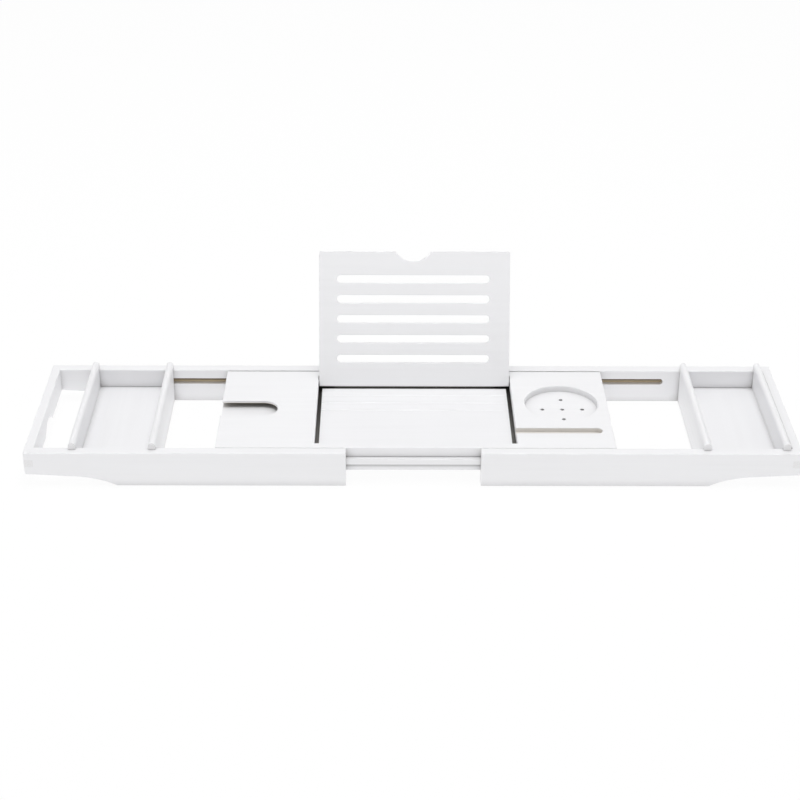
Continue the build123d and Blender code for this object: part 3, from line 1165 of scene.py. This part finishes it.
    def build(self) -> None:
        """Models the eight screws under the battens as one piece."""
        screws = copies_of(self.screw.build(), self.screw_places())
        piece = finish_piece(screws, "batten_screws_detailed", Zinc().make("screw_zinc"))
        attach(piece, "deck")
        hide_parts("batten_screws")


@dataclass
class Wing:
    """One sliding wing: two long rails, an end rail and two pads.

    Attributes:
        side: The end of the caddy that it stands at.
        groove_depth: The depth of the groove in each long rail.
        groove_high: How far the groove's upper wall lies under the rail's top.
        groove_low: How far its lower wall lies under the rail's top.
        groove_bare: How much of the groove's depth the paint doesn't reach.
        groove_shade_drop: How far down the groove's back the painted shade under its upper wall
            reaches.
        end_clear: How far the groove's zones stay from the rail's outer end.
        pad: The shape of the pads under the wing's tips.
    """

    side: Side
    groove_depth: float = 7.0 * MM
    groove_high: float = 11.5 * MM
    groove_low: float = 19.3 * MM
    groove_bare: float = 0.6 * MM
    groove_shade_drop: float = 5.9 * MM
    end_clear: float = 20.0 * MM
    pad: RimPad = field(default_factory=RimPad)

    @property
    def body(self) -> str:
        """The CAD body that the wing's pieces ride on."""
        return self.side.word + "_wing"

    def groove_zones(self, node: str) -> List[Zone]:
        """Finds where a long rail shows thin paint, bare wood and painted shade in its groove.

        Args:
            node: The rail's node name.

        Returns:
            The whole groove, which starts just behind the rail's inner face, its back, and
            the upper part of its back.
        """
        low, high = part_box(node)
        inner, inwards = (high.y, -1.0) if "front" in node else (low.y, 1.0)
        back = inner + inwards * (self.groove_depth + SKIN)
        right = self.side is Side.RIGHT
        start = low.x + (SKIN if right else self.end_clear)
        end = high.x - (self.end_clear if right else SKIN)
        top, bottom = high.z - self.groove_high + SKIN, high.z - self.groove_low - SKIN
        bare = self.groove_depth - self.groove_bare
        zones = []
        for near, floor, surface in (
            (SKIN, bottom, Surface.WORN_PAINT),
            (bare, bottom, Surface.BARE),
            # Painted shade on the upper part of the groove's back, under its upper wall.
            (bare, top - self.groove_shade_drop, Surface.PAINTED_SHADE_UNDER_LIP),
        ):
            y_low, y_high = sorted((inner + inwards * near, back))
            zones.append(Zone((start, y_low, floor), (end, y_high, top), surface))
        return zones

    def finger_ends(self, node: str) -> Zone:
        """Finds the finger ends that a long rail shows at the caddy's end.

        Args:
            node: The rail's node name.

        Returns:
            The zone.
        """
        low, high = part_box(node)
        face = high.x if self.side is Side.RIGHT else low.x
        return Zone((face - SKIN, -FAR, -FAR), (face + SKIN, FAR, FAR), Surface.END_GRAIN)

    def dress(self) -> None:
        """Paints the wing's rails."""
        for place in ("front", "rear"):
            node = self.side.word + "_" + place + "_rail"
            paint_board(node, Axis.X, [*self.groove_zones(node), self.finger_ends(node)])
        node = self.side.word + "_end_rail"
        paint_board(node, Axis.Y, [end_grain(node)])

    def build(self) -> None:
        """Models the two ribbed pads under the wing's tips as one piece."""
        node = self.side.word + "_rim_pads"
        low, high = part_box(node)
        x, _, z = (low + high) * HALF
        inset = self.pad.width * HALF
        lean = Matrix.Rotation(-self.side.value * self.pad.tilt, 4, "Y")
        places = [Matrix.Translation((x, y, z)) @ lean for y in (low.y + inset, high.y - inset)]
        pads = copies_of(self.pad.build(), places)
        piece = finish_piece(pads, node + "_ribbed", Silicone().make(node + "_silicone"))
        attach(piece, self.body)
        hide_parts(node)


@dataclass
class Tray:
    """One loose tray: two walls with round bars on top, and a floor.

    Attributes:
        side: The end of the caddy that it stands at.
    """

    side: Side

    def dress(self) -> None:
        """Paints the tray's boards."""
        tray = self.side.word + "_tray_"
        for wall in ("outer_wall", "inner_wall"):
            paint_board(tray + wall, Axis.Y, [end_grain(tray + wall)])
        paint_board(tray + "floor", Axis.Y)


@dataclass
class BookRest:
    """The folding book rest: a slotted board that turns on two pins.

    Attributes:
        pin: The pins' shape.
        paint: The board's finish, whose corner shade is short.
    """

    pin: HingePin = field(default_factory=HingePin)
    paint: PaintedBamboo = PaintedBamboo(corner_reach=3.0 * MM)

    def dress(self) -> None:
        """Paints the board."""
        paint_board("rest_board", Axis.X, paint=self.paint)

    def build(self) -> None:
        """Models the two hinge pins as one piece."""
        low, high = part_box("rest_pins")
        _, y, z = (low + high) * HALF
        inset = self.pin.length * HALF
        places = [Matrix.Translation((x, y, z)) for x in (low.x + inset, high.x - inset)]
        pins = copies_of(self.pin.build(), places)
        piece = finish_piece(pins, "rest_pins_chamfered", Zinc().make("pin_zinc"))
        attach(piece, "book_rest")
        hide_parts("rest_pins")


@dataclass(frozen=True)
class Lamp:
    """A square soft lamp that faces the caddy.

    Attributes:
        name: The lamp's name.
        place: Where it hangs.
        power: Its power in watts.
        size: The length of its sides.
    """

    name: str
    place: Point
    power: float
    size: float = 1.8

    def hang(self) -> None:
        """Adds the lamp to the scene."""
        data = bpy.data.lights.new(self.name, "AREA")
        data.shape = "SQUARE"
        data.size = self.size
        data.energy = self.power
        lamp = bpy.data.objects.new(self.name, data)
        turn = (-Vector(self.place)).to_track_quat("-Z", "Y").to_matrix().to_4x4()
        lamp.matrix_world = Matrix.Translation(self.place) @ turn
        bpy.context.scene.collection.objects.link(lamp)


@dataclass
class Studio:
    """The floor, the lights, the white surround and the camera.

    Attributes:
        ambient: The level of light that comes from all round.
        floor_share: How much of the floor is plain white to the camera.
        floor_albedo: How much of its light the floor gives back to the caddy.
        floor_glow: How much light the floor gives of its own, as a light table does.
        floor_size: The length of its sides.
        lamps: The soft lamps above and around the caddy.
        eye: Where the camera stands.
        pitch: How far it looks down, in degrees.
        yaw: How far it is turned to the left, in degrees.
        roll: How far its left side is lowered, in degrees.
        lens: Its focal length in millimetres.
        sensor: The width of its sensor in millimetres.
        sight: How far it sees.
    """

    ambient: float = 0.48
    floor_share: float = 0.92
    floor_albedo: float = 0.5
    floor_glow: float = 0.63
    floor_size: float = 14.0
    lamps: Tuple[Lamp, ...] = (
        Lamp("top_lamp", (0.0, 0.0, 3.0), power=36.0),
        Lamp("front_lamp", (0.0, -2.8, 0.9), power=9.2),
        Lamp("left_lamp", (-2.3, -0.2, 1.9), power=9.0),
        Lamp("right_lamp", (2.3, -0.2, 1.9), power=9.0),
        Lamp("back_lamp", (0.0, 2.1, 2.1), power=5.0),
    )
    eye: Point = (-0.0320, -1.9639, 1.1063)
    pitch: float = 28.370
    yaw: float = -0.492
    roll: float = 0.339
    lens: float = 82.20
    sensor: float = 36.0
    sight: float = 50.0

    def seen_directly(self, nodes: NodeTree) -> Socket:
        """Tells the rays that come from the camera, or were mirrored or let through on the way.

        Args:
            nodes: The nodes that the test goes into.

        Returns:
            A value that is 1 for such a ray.
        """
        path = nodes.add("ShaderNodeLightPath")
        seen = path.outputs["Is Camera Ray"]
        for name in ("Is Glossy Ray", "Is Transmission Ray"):
            seen = nodes.math("MAXIMUM", seen, path.outputs[name])
        return seen

    def light_world(self) -> None:
        """Makes the even light from all round, which the camera sees as white."""
        world = bpy.data.worlds.new("studio")
        bpy.context.scene.world = world
        nodes = NodeTree(world)
        around, white = (
            nodes.add("ShaderNodeBackground", {"Color": WHITE, "Strength": level}).outputs[0]
            for level in (self.ambient, 1.0)
        )
        shown = nodes.join_shaders(around, white, self.seen_directly(nodes))
        nodes.add("ShaderNodeOutputWorld", {"Surface": shown})

    def matt_and_glow(self, nodes: NodeTree, albedo: float, glow: float) -> Tuple[Socket, Socket]:
        """Makes a matt grey shader and a glowing white one.

        Args:
            nodes: The nodes that they go into.
            albedo: The grey's level.
            glow: The white's strength.

        Returns:
            The two shaders.
        """
        matt = nodes.add("ShaderNodeBsdfDiffuse", {"Color": (albedo, albedo, albedo)})
        white = nodes.add("ShaderNodeEmission", {"Strength": glow})
        return matt.outputs[0], white.outputs[0]

    def lay_floor(self) -> None:
        """Lays the white floor, which keeps the caddy's soft shadow."""
        mesh = bmesh.new()
        bmesh.ops.create_grid(mesh, x_segments=1, y_segments=1, size=self.floor_size * HALF)
        bmesh.ops.translate(mesh, vec=(0.0, 0.0, -SKIN), verts=mesh.verts[:])
        material = bpy.data.materials.new("studio_floor")
        nodes = NodeTree(material)
        lit = self.matt_and_glow(nodes, self.floor_albedo, self.floor_glow)
        seen = self.matt_and_glow(nodes, 1.0, 1.0)
        bounce = nodes.join_shaders(*lit)
        white = nodes.join_shaders(*seen, self.floor_share)
        shown = nodes.join_shaders(bounce, white, self.seen_directly(nodes))
        nodes.add("ShaderNodeOutputMaterial", {"Surface": shown})
        finish_piece(mesh, "studio_floor", material)

    def set_camera(self) -> None:
        """Puts the camera where the photographer stood."""
        data = bpy.data.cameras.new("camera")
        data.lens = self.lens
        data.sensor_width = self.sensor
        data.clip_end = self.sight
        camera = bpy.data.objects.new("camera", data)
        look = (
            Matrix.Rotation(math.radians(self.yaw), 4, "Z")
            @ Matrix.Rotation(math.radians(90.0 - self.pitch), 4, "X")
            @ Matrix.Rotation(math.radians(self.roll), 4, "Z")
        )
        camera.matrix_world = Matrix.Translation(self.eye) @ look
        bpy.context.scene.collection.objects.link(camera)
        bpy.context.scene.camera = camera

    def build(self) -> None:
        """Sets up the whole studio."""
        self.light_world()
        self.lay_floor()
        for lamp in self.lamps:
            lamp.hang()
        self.set_camera()
        bpy.context.scene.view_settings.view_transform = "Standard"


def main() -> None:
    """Builds and dresses the caddy, piece by piece, and sets up the studio."""
    logging.basicConfig(level=logging.INFO, format="%(name)s: %(message)s")
    deck = Deck()
    deck.build()
    deck.dress()
    for side in Side:
        wing = Wing(side)
        wing.build()
        wing.dress()
        Tray(side).dress()
    rest = BookRest()
    rest.build()
    rest.dress()
    Studio().build()


if __name__ == "__main__":
    main()
